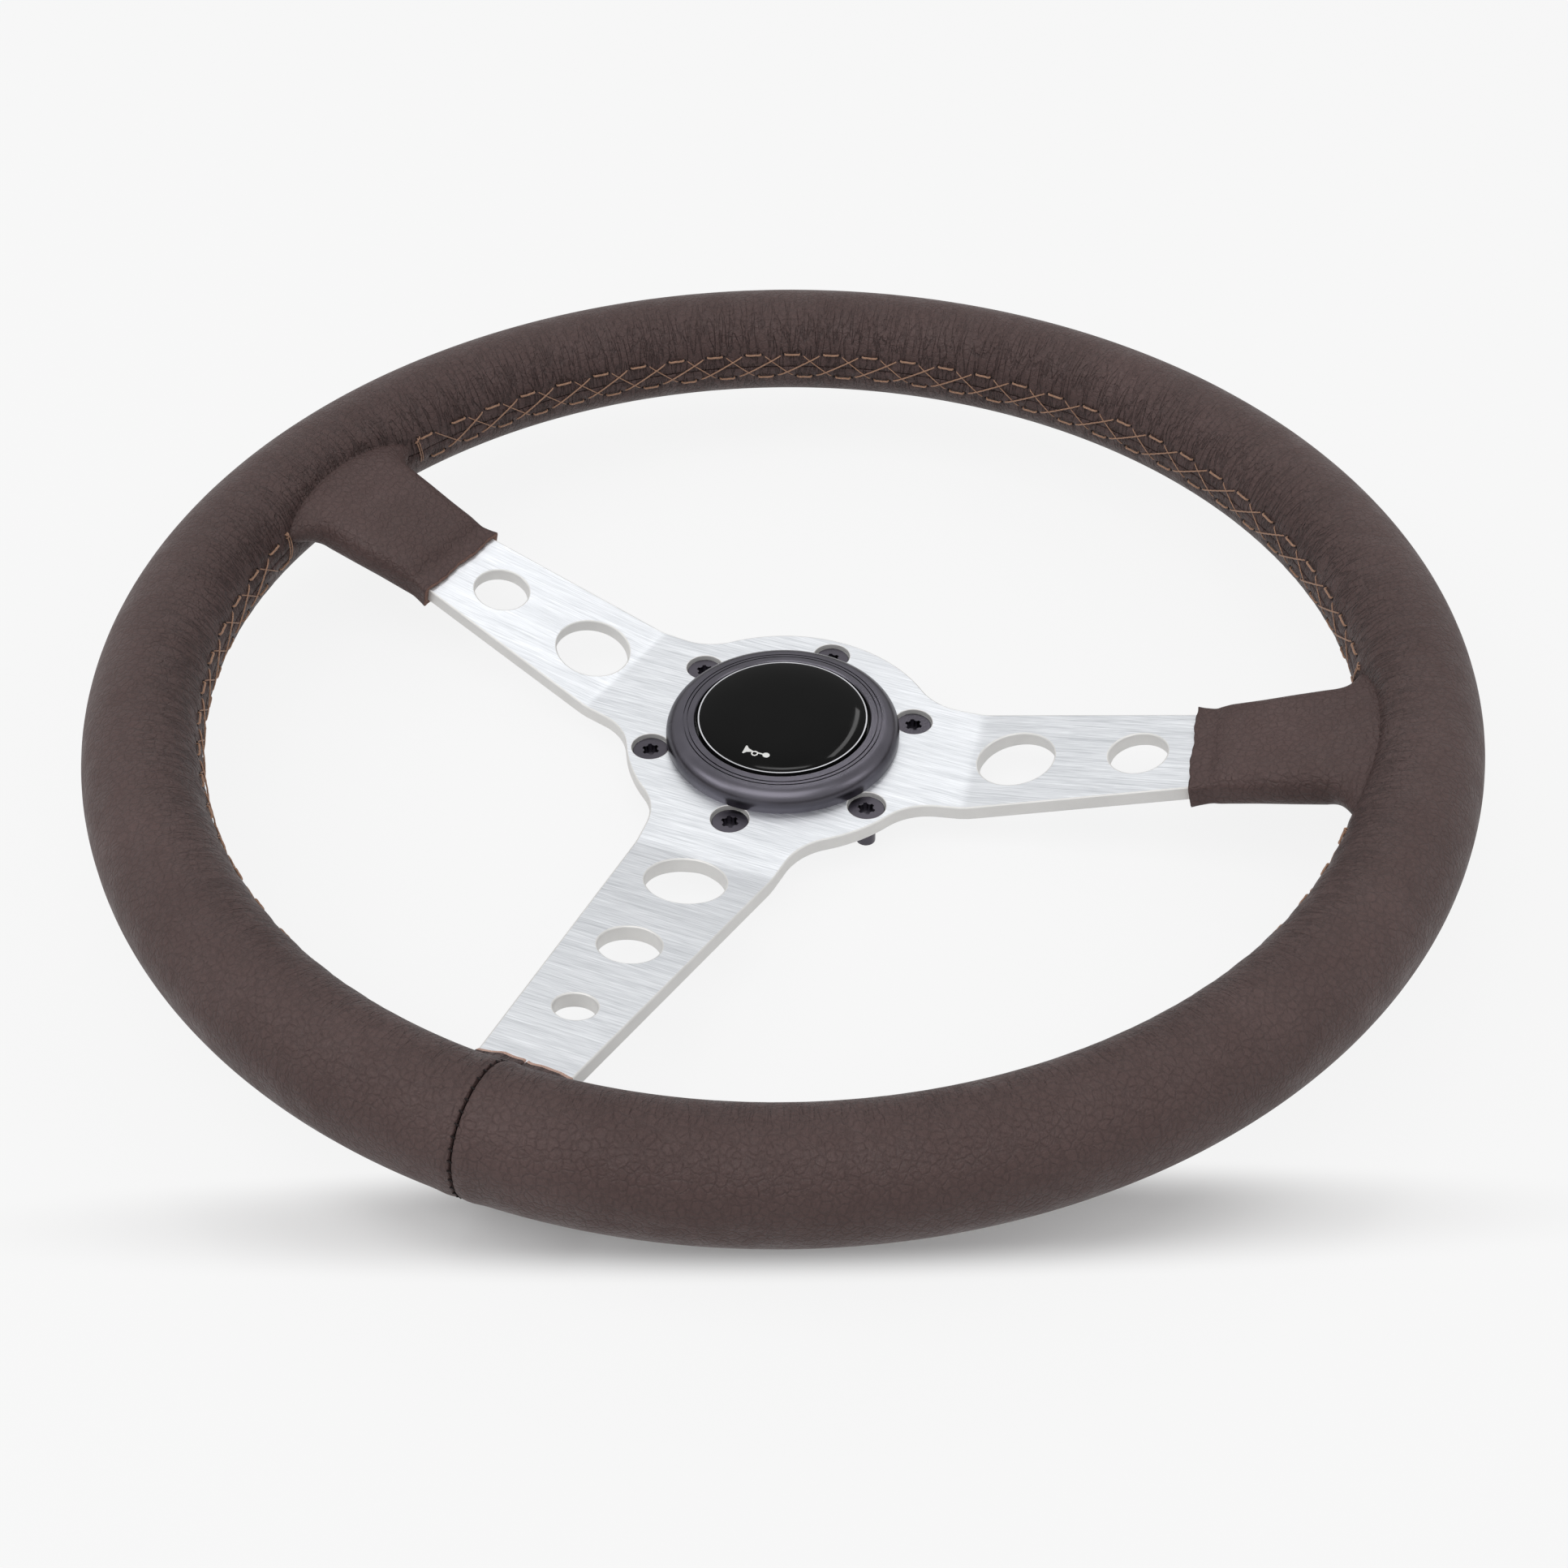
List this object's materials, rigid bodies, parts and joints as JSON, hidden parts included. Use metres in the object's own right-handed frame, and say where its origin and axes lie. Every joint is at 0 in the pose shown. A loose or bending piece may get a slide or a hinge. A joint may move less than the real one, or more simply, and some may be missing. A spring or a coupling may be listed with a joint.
{
  "type": "car steering wheel",
  "caption": "Dished car steering wheel with drilled metal spokes, a laced leather rim, leather sleeves on the side spokes and a horn push at the hub.",
  "frame": {"origin": "centre of the mounting screws' circle, on the hub plate's back face", "axes": "+Z along the wheel's axis to the driver, -Y to the lower spoke, +X to the driver's right"},
  "size_m": [0.35, 0.35, 0.0503],
  "materials": {
    "plate": "brushed along the horizontal, clear anodised",
    "hoop": "plain rolled bar",
    "foam": "moulded foam with a closed skin",
    "leather": "fine pebbled grain, soft sheen",
    "thread": "waxed sewing thread",
    "screw": "black zinc plate",
    "horn_ring": "satin black anodised",
    "clip": "oiled spring steel",
    "cup": "moulded",
    "push": "moulded",
    "label": "clear domed resin over black",
    "contact": "plain strip",
    "small_screw": "zinc plated",
    "spring": "drawn wire"
  },
  "bodies": {
    "wheel": {"spoke_plate": "plate", "rim_hoop": "hoop", "rim_foam": "foam", "rim_leather": "leather", "sleeve_left": "leather", "sleeve_right": "leather", "mount_screw_1": "screw", "mount_screw_2": "screw", "mount_screw_3": "screw", "mount_screw_4": "screw", "mount_screw_5": "screw", "mount_screw_6": "screw", "horn_ring": "horn_ring", "ring_clip": "clip", "horn_cup": "cup", "contact_ring": "contact", "spring_seat": "contact", "horn_spring": "spring", "signal_rivet": "contact", "earth_rivet": "contact", "signal_terminal": "contact", "earth_terminal": "contact"},
    "horn_button": {"horn_push": "push", "horn_dome": "label", "contact_plate": "contact", "contact_screw": "small_screw"}
  },
  "joints": [
    {"name": "horn_press", "type": "slide", "parent": "wheel", "child": "horn_button", "axis": [0, 0, -1], "range_m": [0, 0.0018], "stiffness_N_per_m": 1500, "springref_m": -0.002, "deforming": ["horn_spring"]}
  ]
}
